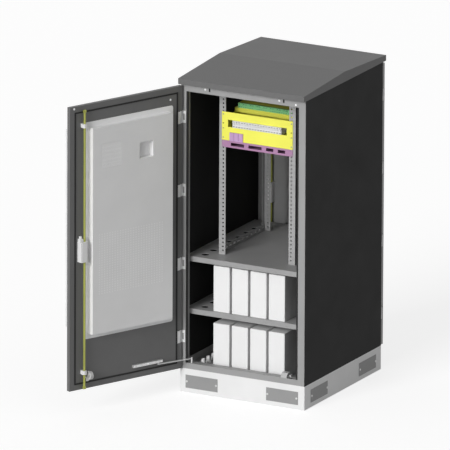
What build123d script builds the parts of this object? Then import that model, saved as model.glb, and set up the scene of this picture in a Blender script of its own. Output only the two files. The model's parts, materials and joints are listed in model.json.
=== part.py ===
from build123d import *
import math
import os

os.makedirs("parts", exist_ok=True)

# Frame: origin at the centre of the footprint, on the ground. +Z is up and the front faces -Y.
# All dimensions are in millimetres.

# Body
BODY_W = 850.0
BODY_D = 1000.0
SHEET = 2.5
PLINTH_H = 150.0
BODY_TOP = 1950.0
HALF_W = BODY_W / 2
HALF_D = BODY_D / 2
FRAME_HALF_W = HALF_W - SHEET

# Plinth
PLINTH_FLANGE = 60.0
FOOT_HOLE_D = 14.0
FOOT_HOLE_X = 394.0
FOOT_HOLE_Y = 469.0
COVER_T = 2.0
COVER_Z = (29.0, 111.0)
COVER_X = ((-388.0, -169.0), (164.0, 381.0))
COVER_Y = ((-419.0, -201.0), (211.0, 432.0))
COVER_MARGIN = 20.0
SCREW_INSET = 9.0
SCREW_D = 6.0
SCREW_HEAD_D = 12.0
SCREW_HEAD_H = 3.0
SCREW_SLACK = 0.6

# Door frames: the opening is off centre, towards the hinges
OPEN_X = (-390.0, 377.0)
OPEN_Z = (186.0, 1894.0)
COLLAR_D = 50.0
SEAL_W = 11.0
SEAL_T = 10.0
VENT_COUNT = 16
VENT_PITCH = 44.0
VENT_SIZE = (16.0, 4.0)
VENT_Z = 1932.0

# Roof
ROOF_HALF_W = 429.0
ROOF_HALF_D = 534.0
ROOF_BOTTOM = 1942.0
ROOF_EAVES = 1977.6
ROOF_RIDGE = 2006.0

# Floor, cable glands and shelves
FLOOR_TOP = 153.0
GLAND_X = -324.0
GLAND_Y0 = -396.0
GLAND_PITCH = 66.0
GLAND_COUNT = 12
GLAND_D = 25.0
GLAND_NECK_D = 20.0
GLAND_BORE_D = 14.0
GLAND_H = 40.0
GLAND_NUT_H = 10.0
SHELF_TOPS = {"shelf_lower": 515.0, "shelf_upper": 845.0}
SHELF_HALF_W = 419.0
SHELF_HALF_D = 445.0
SHELF_LIP = 32.0
CABLE_HOLE_D = 45.0
CABLE_HOLE_Y0 = -374.0
CABLE_HOLE_PITCH = 108.0
CABLE_HOLE_COUNT = 8
RAIL_W = 22.0
RAIL_H = 26.0

# Sealed batteries, in two rows
BATTERY = (110.0, 395.0, 286.0)
BATTERY_X0 = -240.0
BATTERY_PITCH = 126.0
BATTERY_Y0 = -425.0
BATTERIES_PER_SHELF = 4
BATTERY_EDGE = 2.5

# 19 inch rack
RACK_X = 260.0
RACK_FLANGE = 44.0
RACK_WEB = 28.0
RACK_Y = (-319.0, 266.0)
RACK_TOP = 1940.0
RACK_HOLE = 9.5
RACK_HOLE_X = 232.5
RACK_PITCH = 25.0
BRACE_H = 40.0
BRACE_SLOT = (30.0, 11.0)
BRACE_SLOTS = 11
UNIT_H = 44.45
PANEL_HALF_W = 241.3
PANEL_Z0 = 1567.0
PANEL_UNITS = 4
PANEL_T = 2.5
PANEL_GAP = 0.8
BREAKER_SLOT = (400.0, 45.0)
BREAKER_COUNT = 18
BREAKER_PITCH = 18.5
BREAKER_W = 17.8
CHASSIS_D = 250.0
TRAY_HALF_W = 214.0

# Doors, in door coordinates: r runs from the hinge axis along the door, q from outside to inside
HINGE_X = -419.0
HINGE_Y = -515.0
DOOR_R = (-3.0, 841.0)
DOOR_Q = (-15.0, 11.0)
DOOR_Z = (153.0, 1930.0)
DOOR_REST_ANGLE = -115.0
GASKET_INSET = 35.0
GASKET_W = 9.0
GASKET_T = 3.5
HINGE_Z = (352.0, 812.0, 1273.0, 1732.0)
HINGE_H = 76.0
KNUCKLE_D = 12.0
PIN_D = 6.0
NOTCH_R = 14.0
LEAF_T = 1.5
HINGE_PLATE_R = 26.0

STIFFENER_R = (625.0, 639.0)
STIFFENER_Z = 1054.0
STIFFENER_BRIDGE = 32.0
STIFFENER_SLOT = 360.0

# Climate unit, built through the front door
UNIT_FLANGE_R = (69.0, 730.0)
UNIT_FLANGE_Z = (463.0, 1820.0)
UNIT_R = (100.0, 701.0)
UNIT_Z = (495.0, 1788.0)
UNIT_PROUD = 44.0
UNIT_WALL = 2.0
FIELD_R = (169.0, 661.0)
FIELD_Z = (738.0, 1123.0)
FIELD_COLS = 14
FIELD_ROWS = 12
FIELD_HOLE = (18.0, 12.0)
GRILLE_R = (483.0, 634.0)
GRILLE_Z = (1529.0, 1678.0)
GRILLE_BARS = 9
RECESS_R = (249.0, 351.0)
RECESS_Z = (1542.0, 1642.0)
RECESS_DEPTH = 40.0
OUTER_R = (80.0, 711.0)
OUTER_Z = (490.0, 1800.0)
OUTER_PROUD = 190.0
OUTER_SLOPE = 70.0

# Three-point lock
ROD_R = 745.0
ROD_Q = 31.0
ROD_D = 14.0
ROLLER_D = 20.0
ROD_UPPER = (1055.0, 1908.0)
ROD_LOWER = (157.0, 990.0)
ROD_TRAVEL = 30.0
HANDLE_TURN = 90.0
GUIDE_Z = (262.0, 1808.0)
GUIDE_SLACK = 0.4
CASE_R = (733.0, 783.0)
CASE_Z = (960.0, 1085.0)
CASE_Q = 51.0
SPINDLE_R = 766.0
SPINDLE_Z = 1022.0
SPINDLE_D = 10.0
CAM_D = 24.0
LEVER_L = 120.0

# Door stay and lift roller
STAY_PIVOT = (-355.0, -485.0)
STAY_Q = 21.0
STAY_REST_R = 180.0
STAY_Z = (212.0, 216.0)
STAY_W = 14.0
STAY_RAIL_R = (150.0, 371.0)
STAY_RAIL_Z = (222.0, 238.0)
WHEEL_R = 710.0
WHEEL_Q = 41.0
WHEEL_Z = 240.0
WHEEL_D = 50.0
WHEEL_W = 20.0
WHEEL_GAP = 0.8


def block(x, y, z):
    """A box between two corners, each given as (low, high)."""
    size = (x[1] - x[0], y[1] - y[0], z[1] - z[0])
    middle = ((x[0] + x[1]) / 2, (y[0] + y[1]) / 2, (z[0] + z[1]) / 2)
    return Pos(*middle) * Box(*size)


def upright(x, y, z, diameter):
    """A cylinder along Z."""
    return Pos(x, y, (z[0] + z[1]) / 2) * Cylinder(diameter / 2, z[1] - z[0])


def along_x(x, y, z, diameter):
    """A cylinder along X."""
    return Pos((x[0] + x[1]) / 2, y, z) * Rot(0, 90, 0) * Cylinder(diameter / 2, x[1] - x[0])


def along_y(x, y, z, diameter):
    """A cylinder along Y."""
    return Pos(x, (y[0] + y[1]) / 2, z) * Rot(90, 0, 0) * Cylinder(diameter / 2, y[1] - y[0])


def cut(shape, tools):
    return shape.cut(*tools)


def join(shapes):
    return shapes[0].fuse(*shapes[1:])


def turned(shape):
    """The same shape at the back of the cabinet, half a turn about Z."""
    return Rot(0, 0, 180) * shape


def save(name, *shapes):
    solids = [solid for shape in shapes for solid in shape.solids()]
    body = solids[0] if len(solids) == 1 else Compound(solids)
    body.label = name
    export_step(body, f"parts/{name}.step")


FRONT_DOOR = Pos(HINGE_X, HINGE_Y, 0) * Rot(0, 0, DOOR_REST_ANGLE)
REAR_DOOR = Rot(0, 0, 180) * Pos(HINGE_X, HINGE_Y, 0)


# Plinth

def cover_faces():
    """Each cover as (axis, outer side, span): two on each of the four walls."""
    faces = [("y", -1, span) for span in COVER_X]
    faces += [("y", 1, (-span[1], -span[0])) for span in COVER_X]
    faces += [("x", side, span) for side in (-1, 1) for span in COVER_Y]
    return faces


def on_wall(axis, side, span, depth, z):
    """A box on a wall: depth is measured outwards from the wall's outer face."""
    wall = HALF_D if axis == "y" else HALF_W
    low, high = sorted((side * (wall + depth[0]), side * (wall + depth[1])))
    if axis == "y":
        return block(span, (low, high), z)
    return block((low, high), span, z)


def wall_screw(axis, side, at, depth, across):
    """A hexagonal bar through a wall, for a screw or its hole."""
    wall = HALF_D if axis == "y" else HALF_W
    low, high = sorted((side * (wall + depth[0]), side * (wall + depth[1])))
    hexagon = RegularPolygon(across / 2, 6, major_radius=False)
    bar = extrude(hexagon, high - low)
    middle_z = sum(COVER_Z) / 2
    if axis == "y":
        return Pos(at, high, middle_z) * Rot(90, 0, 0) * bar
    return Pos(low, at, middle_z) * Rot(0, 90, 0) * bar


def screw_places(span):
    return (span[0] + SCREW_INSET, span[1] - SCREW_INSET)


def plinth():
    inner_w = HALF_W - SHEET
    inner_d = HALF_D - SHEET
    body = block((-HALF_W, HALF_W), (-HALF_D, HALF_D), (0, PLINTH_H))
    hollow = block((-inner_w, inner_w), (-inner_d, inner_d), (SHEET, PLINTH_H - SHEET))
    open_w = HALF_W - PLINTH_FLANGE
    open_d = HALF_D - PLINTH_FLANGE
    tools = [hollow, block((-open_w, open_w), (-open_d, open_d), (-1, PLINTH_H + 1))]
    window_z = (COVER_Z[0] + 12, COVER_Z[1] - 12)
    for axis, side, span in cover_faces():
        window = (span[0] + COVER_MARGIN, span[1] - COVER_MARGIN)
        tools.append(on_wall(axis, side, window, (-SHEET - 1, 1), window_z))
        for at in screw_places(span):
            tools.append(wall_screw(axis, side, at, (-SHEET - 1, 1), SCREW_D + SCREW_SLACK))
    for x in (-FOOT_HOLE_X, FOOT_HOLE_X):
        for y in (-FOOT_HOLE_Y, FOOT_HOLE_Y):
            tools.append(upright(x, y, (-1, SHEET + 1), FOOT_HOLE_D))
    return cut(body, tools)


def plinth_covers():
    plates = []
    for axis, side, span in cover_faces():
        plate = on_wall(axis, side, span, (0, COVER_T), COVER_Z)
        holes = [
            wall_screw(axis, side, at, (-1, COVER_T + 1), SCREW_D + SCREW_SLACK)
            for at in screw_places(span)
        ]
        plates.append(cut(plate, holes))
    return plates


def plinth_screws():
    screws = []
    for axis, side, span in cover_faces():
        for at in screw_places(span):
            shank = wall_screw(axis, side, at, (-SHEET - 4, COVER_T), SCREW_D)
            head = wall_screw(axis, side, at, (COVER_T, COVER_T + SCREW_HEAD_H), SCREW_HEAD_D)
            screws.append(join([shank, head]))
    return screws


save("plinth", plinth())
save("plinth_covers", *plinth_covers())
save("plinth_screws", *plinth_screws())


# Frame, side panels and seals

def rod_x():
    return HINGE_X + ROD_R


def rod_y():
    return HINGE_Y + ROD_Q


def door_frame():
    """The front ring: a face plate with a collar folded back round the opening."""
    front = -HALF_D
    plate = block((-FRAME_HALF_W, FRAME_HALF_W), (front, front + SHEET), (PLINTH_H, BODY_TOP))
    collar = block(
        (OPEN_X[0] - SHEET, OPEN_X[1] + SHEET),
        (front, front + COLLAR_D),
        (OPEN_Z[0] - SHEET, OPEN_Z[1] + SHEET),
    )
    tools = [block(OPEN_X, (front - 1, front + COLLAR_D + 1), OPEN_Z)]
    keeper_x = (rod_x() - 16, rod_x() + 16)
    keeper_y = (rod_y() - 12.5, rod_y() + 14)
    tools.append(block(keeper_x, keeper_y, (OPEN_Z[0] - 10, OPEN_Z[1] + 10)))
    first_vent = -(VENT_COUNT - 1) / 2 * VENT_PITCH
    for k in range(VENT_COUNT):
        x = first_vent + k * VENT_PITCH
        tools.append(block(
            (x - VENT_SIZE[0] / 2, x + VENT_SIZE[0] / 2),
            (front - 1, front + SHEET + 1),
            (VENT_Z - VENT_SIZE[1] / 2, VENT_Z + VENT_SIZE[1] / 2),
        ))
    return cut(join([plate, collar]), tools)


def frame():
    ring = door_frame()
    inner_d = HALF_D - SHEET
    lying = block((-FRAME_HALF_W, -397.5), (-inner_d, inner_d), (PLINTH_H, PLINTH_H + SHEET))
    standing = block(
        (-FRAME_HALF_W, -FRAME_HALF_W + SHEET), (-inner_d, inner_d), (PLINTH_H, PLINTH_H + 40))
    rails = [lying, standing, turned(lying), turned(standing)]
    top = block(
        (-FRAME_HALF_W, FRAME_HALF_W), (-inner_d, inner_d), (BODY_TOP - SHEET, BODY_TOP))
    return join([ring, turned(ring), top] + rails)


def side_panel():
    return block((-HALF_W, -FRAME_HALF_W), (-HALF_D, HALF_D), (PLINTH_H, BODY_TOP))


def edge_seals():
    """Black strips on both upright edges of each opening."""
    y = (-HALF_D, -HALF_D + SEAL_T)
    left = block((OPEN_X[0], OPEN_X[0] + SEAL_W), y, OPEN_Z)
    right = block((OPEN_X[1] - SEAL_W, OPEN_X[1]), y, OPEN_Z)
    return [left, right, turned(left), turned(right)]


save("frame", frame())
save("side_panel_left", side_panel())
save("side_panel_right", turned(side_panel()))
save("edge_seals", *edge_seals())


# Roof

def gable(half_w, half_d, bottom, eaves, ridge):
    points = [(-half_d, bottom), (half_d, bottom), (half_d, eaves), (0, ridge), (-half_d, eaves)]
    profile = Plane.YZ * make_face(Polyline(*points, close=True))
    return Pos(-half_w, 0, 0) * extrude(profile, 2 * half_w)


def roof():
    """A shallow gable with a drip lip all round and a flange that rests on the body."""
    skin = gable(ROOF_HALF_W, ROOF_HALF_D, ROOF_BOTTOM, ROOF_EAVES, ROOF_RIDGE)
    inner_w = ROOF_HALF_W - SHEET
    inner_d = ROOF_HALF_D - SHEET
    flange_top = BODY_TOP + SHEET
    hollow = gable(inner_w, inner_d, flange_top, ROOF_EAVES - SHEET, ROOF_RIDGE - SHEET)
    below = block((-inner_w, inner_w), (-inner_d, inner_d), (ROOF_BOTTOM - 1, BODY_TOP))
    middle = block((-360, 360), (-430, 430), (BODY_TOP - 1, flange_top + 1))
    return cut(skin, [hollow, below, middle])


save("roof", roof())


# Floor, glands and shelves

def gland_places():
    return [GLAND_Y0 + k * GLAND_PITCH for k in range(GLAND_COUNT)]


def floor_plate():
    plate = block((-396, 396), (-496, 496), (PLINTH_H, FLOOR_TOP))
    holes = [
        hex_prism(GLAND_X, y, (PLINTH_H - 1, FLOOR_TOP + 1), GLAND_NECK_D + SCREW_SLACK)
        for y in gland_places()
    ]
    return cut(plate, holes)


def hex_prism(x, y, z, across):
    face = Pos(x, y, z[0]) * RegularPolygon(across / 2, 6, major_radius=False)
    return extrude(face, z[1] - z[0])


def cable_glands():
    """Glands in the floor: a threaded neck, a nut, a tapered cap and a bore for the cable."""
    nut_top = FLOOR_TOP + GLAND_NUT_H
    glands = []
    for y in gland_places():
        neck = hex_prism(GLAND_X, y, (PLINTH_H - 14, FLOOR_TOP), GLAND_NECK_D)
        nut = hex_prism(GLAND_X, y, (FLOOR_TOP, nut_top), GLAND_D + 4)
        cap_face = Pos(GLAND_X, y, nut_top) * RegularPolygon(GLAND_D / 2, 8, major_radius=False)
        cap = extrude(cap_face, GLAND_H - GLAND_NUT_H, taper=5)
        bore = hex_prism(GLAND_X, y, (PLINTH_H - 20, FLOOR_TOP + GLAND_H + 5), GLAND_BORE_D)
        glands.append(cut(join([neck, nut, cap]), [bore]))
    return glands


def shelf(top):
    bottom = top - SHEET
    plate = block((-SHELF_HALF_W, SHELF_HALF_W), (-SHELF_HALF_D, SHELF_HALF_D), (bottom, top))
    lip_x = (-SHELF_HALF_W + RAIL_W, SHELF_HALF_W - RAIL_W)
    front = block(lip_x, (-SHELF_HALF_D, -SHELF_HALF_D + SHEET), (top - SHELF_LIP, top))
    rear = block(lip_x, (SHELF_HALF_D - SHEET, SHELF_HALF_D), (top - SHELF_LIP, top))
    holes = [
        upright(GLAND_X, CABLE_HOLE_Y0 + k * CABLE_HOLE_PITCH, (bottom - 1, top + 1), CABLE_HOLE_D)
        for k in range(CABLE_HOLE_COUNT)
    ]
    return cut(join([plate, front, rear]), holes)


def shelf_rails():
    """Angle rails on the side walls that carry the shelves."""
    rails = []
    for top in SHELF_TOPS.values():
        under = top - SHEET
        wall = -FRAME_HALF_W
        upright_leg = block((wall, wall + SHEET), (-440, 440), (under - RAIL_H, under))
        level_leg = block((wall, wall + RAIL_W), (-440, 440), (under - SHEET, under))
        rail = join([upright_leg, level_leg])
        rails += [rail, turned(rail)]
    return rails


save("floor_plate", floor_plate())
save("cable_glands", *cable_glands())
for name, top in SHELF_TOPS.items():
    save(name, shelf(top))
save("shelf_rails", *shelf_rails())


# Batteries

def battery(x, z):
    """A sealed battery block with softened edges."""
    width, depth, height = BATTERY
    body = block((x, x + width), (BATTERY_Y0, BATTERY_Y0 + depth), (z, z + height))
    return chamfer(body.edges().filter_by(Axis.Z) + body.edges().group_by(Axis.Z)[-1], BATTERY_EDGE)


battery_number = 0
for floor_z in (FLOOR_TOP, SHELF_TOPS["shelf_lower"]):
    for column in range(BATTERIES_PER_SHELF):
        battery_number += 1
        save(f"battery_{battery_number}", battery(BATTERY_X0 + column * BATTERY_PITCH, floor_z))


# Rack uprights and braces

def rack_upright(side, face_y, inward):
    """An angle with a perforated face; inward is the direction of its web along Y."""
    shelf_z = SHELF_TOPS["shelf_upper"]
    z = (shelf_z, RACK_TOP)
    face_x = sorted((side * RACK_X, side * (RACK_X - RACK_FLANGE)))
    web_x = sorted((side * RACK_X, side * (RACK_X - SHEET)))
    face = block(face_x, sorted((face_y, face_y + inward * SHEET)), z)
    web = block(web_x, sorted((face_y, face_y + inward * RACK_WEB)), z)
    half = RACK_HOLE / 2
    hole_x = (side * RACK_HOLE_X - half, side * RACK_HOLE_X + half)
    holes = []
    for k in range(int((RACK_TOP - shelf_z - 20) / RACK_PITCH)):
        at = shelf_z + 25 + k * RACK_PITCH
        holes.append(block(hole_x, (face_y - 5, face_y + 5), (at - half, at + half)))
    return cut(join([face, web]), holes)


def rack_brace(side):
    """A slotted bar along the foot of the front and rear uprights."""
    shelf_z = SHELF_TOPS["shelf_upper"]
    x = sorted((side * (RACK_X - SHEET), side * (RACK_X - 2 * SHEET)))
    y = (RACK_Y[0] + SHEET, RACK_Y[1] - SHEET)
    bar = block(x, y, (shelf_z, shelf_z + BRACE_H))
    step = (y[1] - y[0]) / BRACE_SLOTS
    middle = shelf_z + BRACE_H / 2
    slots = []
    for k in range(BRACE_SLOTS):
        at = y[0] + (k + 0.5) * step
        slots.append(block(
            (x[0] - 1, x[1] + 1),
            (at - BRACE_SLOT[0] / 2, at + BRACE_SLOT[0] / 2),
            (middle - BRACE_SLOT[1] / 2, middle + BRACE_SLOT[1] / 2),
        ))
    return cut(bar, slots)


for side, side_name in ((-1, "left"), (1, "right")):
    save(f"rack_rail_front_{side_name}", rack_upright(side, RACK_Y[0], 1))
    save(f"rack_rail_rear_{side_name}", rack_upright(side, RACK_Y[1], -1))
    save(f"rack_brace_{side_name}", rack_brace(side))


# Power shelf: panel, breakers, chassis, terminals and the tray below

PANEL_Z = (PANEL_Z0 + PANEL_GAP / 2, PANEL_Z0 + PANEL_UNITS * UNIT_H - PANEL_GAP / 2)
PANEL_Y = (RACK_Y[0] - PANEL_T, RACK_Y[0])
SLOT_Z = (1652.0, 1652.0 + BREAKER_SLOT[1])
MODULE_X = (-187.0, -97.0)
MODULE_TOP = 1619.0


def ear_slots(z_list):
    """Rounded mounting slots in both ends of a rack panel."""
    slots = []
    for x in (-RACK_HOLE_X, RACK_HOLE_X):
        for z in z_list:
            slots.append(block((x - 5, x + 5), (PANEL_Y[0] - 1, PANEL_Y[1] + 1), (z - 3.5, z + 3.5)))
    return slots


def breaker_panel():
    plate = block((-PANEL_HALF_W, PANEL_HALF_W), PANEL_Y, PANEL_Z)
    through = (PANEL_Y[0] - 1, PANEL_Y[1] + 1)
    slot = block((-BREAKER_SLOT[0] / 2, BREAKER_SLOT[0] / 2), through, SLOT_Z)
    notch = block((MODULE_X[0] - 1, MODULE_X[1] + 1), through, (PANEL_Z[0] - 1, MODULE_TOP + 1))
    slots = ear_slots([PANEL_Z[0] + 16, PANEL_Z[0] + 73, PANEL_Z[1] - 73, PANEL_Z[1] - 16])
    return cut(plate, [slot, notch] + slots)


def breakers():
    """Modular breakers: a wide body behind the panel, a nose in the slot and a toggle."""
    first = -(BREAKER_COUNT - 1) / 2 * BREAKER_PITCH
    middle = sum(SLOT_Z) / 2
    modules = []
    for k in range(BREAKER_COUNT):
        centre = first + k * BREAKER_PITCH
        x = (centre - BREAKER_W / 2, centre + BREAKER_W / 2)
        body = block(x, (RACK_Y[0] + 2, RACK_Y[0] + 54), (middle - 25, middle + 42))
        nose = block(x, (PANEL_Y[0] - 6, RACK_Y[0] + 2), (SLOT_Z[0] + 1, SLOT_Z[1] - 1))
        toggle = block((centre - 5, centre + 5), (PANEL_Y[0] - 13, PANEL_Y[0] - 6), (middle, middle + 9))
        modules.append(join([body, nose, toggle]))
    return modules


def din_rail():
    y = RACK_Y[0] + 54
    middle = sum(SLOT_Z) / 2
    x = (-205, 205)
    web = block(x, (y + 5.5, y + 7), (middle - 13, middle + 13))
    arms = [block(x, (y, y + 7), (middle + s - 0.75, middle + s + 0.75)) for s in (-12.5, 12.5)]
    feet = [
        block(x, (y, y + 1.5), (middle - 17.5, middle - 12.5)),
        block(x, (y, y + 1.5), (middle + 12.5, middle + 17.5)),
    ]
    return join([web] + arms + feet)


CHASSIS_Y = (RACK_Y[0] + SHEET + 1, RACK_Y[0] + CHASSIS_D)
TRAY_TOP = PANEL_Z0


def power_chassis():
    """A folded chassis: floor, thin side plates, a cross rail and a box at the back."""
    half = 220.0
    z0 = TRAY_TOP
    floor = block((MODULE_X[1] + 6, half), CHASSIS_Y, (z0, z0 + 2))
    floor_rear = block((-half, half), (-235, CHASSIS_Y[1]), (z0, z0 + 2))
    sides = [
        block((-half, -half + 2), CHASSIS_Y, (z0, 1715)),
        block((half - 2, half), CHASSIS_Y, (z0, 1715)),
    ]
    cross = block((-half, half), (-196, -164), (1715, 1741))
    cheeks = [
        block((-half, -half + 2), (-196, -164), (1714, 1741)),
        block((half - 2, half), (-196, -164), (1714, 1741)),
    ]
    box = block((-half, half), (-130, CHASSIS_Y[1]), (z0, 1760))
    flange = block((-half, half), (-150, CHASSIS_Y[1]), (1758, 1760))
    hollow = block((-half + 2, half - 2), (-128, CHASSIS_Y[1] - 2), (z0 + 2, 1758))
    under_cross = block((-half + 2, half - 2), (-194, -166), (1713, 1739))
    return cut(join([floor, floor_rear, cross, box, flange] + sides + cheeks), [hollow, under_cross])


def terminal_strip():
    """Feed-through terminals: a ribbed strip on the chassis cross rail."""
    x0 = -202.0
    count = 24
    pitch = 15.3
    base = block((x0, x0 + count * pitch), (-190, -170), (1741, 1757))
    gaps = []
    for k in range(1, count):
        x = x0 + k * pitch
        gaps.append(block((x - 1.2, x + 1.2), (-191, -169), (1750, 1772)))
    top = block((x0, x0 + count * pitch), (-187, -173), (1757, 1769))
    return cut(join([base, top]), gaps)


def relay_blocks():
    blocks = []
    for k in range(2):
        x = 171 + k * 13
        body = block((x, x + 12), (-192, -168), (1741, 1785))
        step = block((x - 1, x + 13), (-193, -184), (1772, 1786))
        blocks.append(cut(body, [step]))
    return blocks


def module_tray():
    """A one-unit tray with ears, cut-outs in its face and a folded floor."""
    z = (TRAY_TOP - UNIT_H + PANEL_GAP, TRAY_TOP)
    face = block((-PANEL_HALF_W, PANEL_HALF_W), PANEL_Y, (z[0], z[1] - 0.4))
    through = (PANEL_Y[0] - 1, PANEL_Y[1] + 1)
    windows = [
        block((-180, -90), through, (z[0] + 12, z[1] - 12)),
        block((-60, 30), through, (z[0] + 12, z[1] - 12)),
        block((60, 110), through, (z[0] + 12, z[1] - 12)),
        block((140, 190), through, (z[0] + 12, z[1] - 12)),
    ]
    face = cut(face, windows + ear_slots([z[0] + 8, z[1] - 8]))
    x = (-TRAY_HALF_W, TRAY_HALF_W)
    y = (RACK_Y[0], -160)
    floor = block(x, y, (z[0], z[0] + 2))
    top = block(x, y, (z[1] - 2, z[1]))
    back = block(x, (-162, -160), z)
    return join([face, floor, top, back])


def surge_protector():
    """Three plug-in modules that stand on the tray, in the notch of the panel."""
    z = (TRAY_TOP, MODULE_TOP)
    body = block(MODULE_X, (PANEL_Y[0] - 5, -258), z)
    third = (MODULE_X[1] - MODULE_X[0]) / 3
    gaps = []
    for k in (1, 2):
        x = MODULE_X[0] + k * third
        gaps.append(block((x - 1, x + 1), (PANEL_Y[0] - 6, -300), (z[0] + 6, z[1] + 1)))
    return cut(body, gaps)


save("breaker_panel", breaker_panel())
save("breakers", *breakers())
save("din_rail", din_rail())
save("power_chassis", power_chassis())
save("terminal_strip", terminal_strip())
save("relay_blocks", *relay_blocks())
save("module_tray", module_tray())
save("surge_protector", surge_protector())


# Doors

def stiffener_slots():
    """Two long slots in the inner skin, split by a bridge."""
    q = (DOOR_Q[1] - 5, DOOR_Q[1] + 1)
    half = STIFFENER_BRIDGE / 2
    lower = block(STIFFENER_R, q, (STIFFENER_Z - STIFFENER_SLOT, STIFFENER_Z - half))
    upper = block(STIFFENER_R, q, (STIFFENER_Z + half, STIFFENER_Z + STIFFENER_SLOT))
    return [lower, upper]


def door_shell(window, slotted):
    """A hollow double-skinned door, open at the window, with notches for the hinges."""
    skin = 2.0
    outer = block(DOOR_R, DOOR_Q, DOOR_Z)
    hollow = block(
        (DOOR_R[0] + skin, DOOR_R[1] - skin),
        (DOOR_Q[0] + skin, DOOR_Q[1] - skin),
        (DOOR_Z[0] + skin, DOOR_Z[1] - skin),
    )
    tools = []
    if window:
        (r0, r1), (z0, z1) = window
        collar = block((r0 - skin, r1 + skin), (DOOR_Q[0] - 1, DOOR_Q[1] + 1), (z0 - skin, z1 + skin))
        hollow = cut(hollow, [collar])
        tools.append(block((r0, r1), (DOOR_Q[0] - 1, DOOR_Q[1] + 1), (z0, z1)))
    tools.append(hollow)
    for z in HINGE_Z:
        tools.append(block(
            (DOOR_R[0] - 1, NOTCH_R),
            (DOOR_Q[0] + skin, DOOR_Q[1] + 1),
            (z - HINGE_H / 2 - 3, z + HINGE_H / 2 + 3),
        ))
    tools.append(along_y(SPINDLE_R, (DOOR_Q[0] - 1, DOOR_Q[1] + 1), SPINDLE_Z, SPINDLE_D + 1.4))
    if slotted:
        tools += stiffener_slots()
    return cut(outer, tools)


def door_gasket():
    r = (DOOR_R[0] + GASKET_INSET, DOOR_R[1] - GASKET_INSET)
    z = (DOOR_Z[0] + GASKET_INSET, DOOR_Z[1] - GASKET_INSET)
    q = (DOOR_Q[1], DOOR_Q[1] + GASKET_T)
    ring = block(r, q, z)
    inside = block(
        (r[0] + GASKET_W, r[1] - GASKET_W), (q[0] - 1, q[1] + 1), (z[0] + GASKET_W, z[1] - GASKET_W))
    return cut(ring, [inside])


def hinge_frame_leaf(z):
    """Lower knuckle with the pin, on a plate with a window, welded to the face of the frame."""
    low = (z - HINGE_H / 2, z - 0.5)
    face = -HINGE_Y - HALF_D
    full = (z - HINGE_H / 2, z + HINGE_H / 2)
    knuckle = upright(0, 0, low, KNUCKLE_D)
    arm = block((-3, 3), (3, face), low)
    plate = block((-3, HINGE_PLATE_R), (face - LEAF_T, face), full)
    window = block((6, HINGE_PLATE_R - 7), (face - 5, face + 1), (z - 20, z + 20))
    pin = upright(0, 0, (low[1] - 5, full[1] + 1), PIN_D)
    return join([knuckle, arm, cut(plate, [window]), pin])


def hinge_door_leaf(z):
    """Upper knuckle on a strap that lies on the inside of the door."""
    high = (z + 0.5, z + HINGE_H / 2)
    q0 = DOOR_Q[1]
    knuckle = upright(0, 0, high, KNUCKLE_D)
    bridge = block((0, NOTCH_R), (q0 - 9, q0 - 6), high)
    rise = block((NOTCH_R - 3, NOTCH_R), (q0 - 9, q0 + LEAF_T), high)
    strap = block((NOTCH_R - 3, NOTCH_R + 16), (q0, q0 + LEAF_T), (z - HINGE_H / 2, z + HINGE_H / 2))
    return cut(join([knuckle, bridge, rise, strap]), [upright(0, 0, (z - 5, z + 50), PIN_D + 0.8)])


def lock_case():
    case = block(CASE_R, (DOOR_Q[1], CASE_Q), CASE_Z)
    case = chamfer(case.edges().filter_by(Axis.Z).group_by(Axis.Y)[-1], 5)
    wall = 2.0
    hollow = block(
        (CASE_R[0] + wall, CASE_R[1] - wall),
        (DOOR_Q[1] - 1, CASE_Q - wall),
        (CASE_Z[0] + wall, CASE_Z[1] - wall),
    )
    rod_way = upright(ROD_R, ROD_Q, (CASE_Z[0] - 5, CASE_Z[1] + 5), ROD_D + 2 * GUIDE_SLACK)
    return cut(case, [hollow, rod_way])


def rod_guides():
    guides = []
    for z in GUIDE_Z:
        body = block((ROD_R - 14, ROD_R + 14), (DOOR_Q[1], ROD_Q + 12), (z - 12, z + 12))
        body = chamfer(body.edges().filter_by(Axis.Z).group_by(Axis.Y)[-1], 6)
        guides.append(cut(body, [upright(ROD_R, ROD_Q, (z - 20, z + 20), ROD_D + 2 * GUIDE_SLACK)]))
    return guides


def rod_upper():
    bar = upright(ROD_R, ROD_Q, (ROD_UPPER[0], ROD_UPPER[1] - ROLLER_D / 2), ROD_D)
    tip = along_x((ROD_R - 6, ROD_R + 6), ROD_Q, ROD_UPPER[1] - ROLLER_D / 2, ROLLER_D)
    return join([bar, tip])


def rod_lower():
    bar = upright(ROD_R, ROD_Q, (ROD_LOWER[0] + ROLLER_D / 2, ROD_LOWER[1]), ROD_D)
    tip = along_x((ROD_R - 6, ROD_R + 6), ROD_Q, ROD_LOWER[0] + ROLLER_D / 2, ROLLER_D)
    return join([bar, tip])


def handle():
    """Swing handle outside, with its spindle and the cam inside the lock case."""
    face = DOOR_Q[0] - 0.6
    rose = along_y(SPINDLE_R, (face - 10, face), SPINDLE_Z, 44)
    lever = block(
        (SPINDLE_R - 12, SPINDLE_R + 12), (face - 24, face - 10), (SPINDLE_Z - LEVER_L, SPINDLE_Z + 14))
    lever = fillet(lever.edges().filter_by(Axis.Y), 11)
    spindle = along_y(SPINDLE_R, (face - 5, CASE_Q - 16), SPINDLE_Z, SPINDLE_D)
    cam = along_y(SPINDLE_R, (CASE_Q - 16, CASE_Q - 9), SPINDLE_Z, CAM_D)
    return join([rose, lever, spindle, cam])


def unlocked(shape):
    """A handle turned to the side about its spindle, which draws the rods in."""
    to_spindle = Pos(SPINDLE_R, 0, SPINDLE_Z)
    return to_spindle * Rot(0, -HANDLE_TURN, 0) * to_spindle.inverse() * shape


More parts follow.
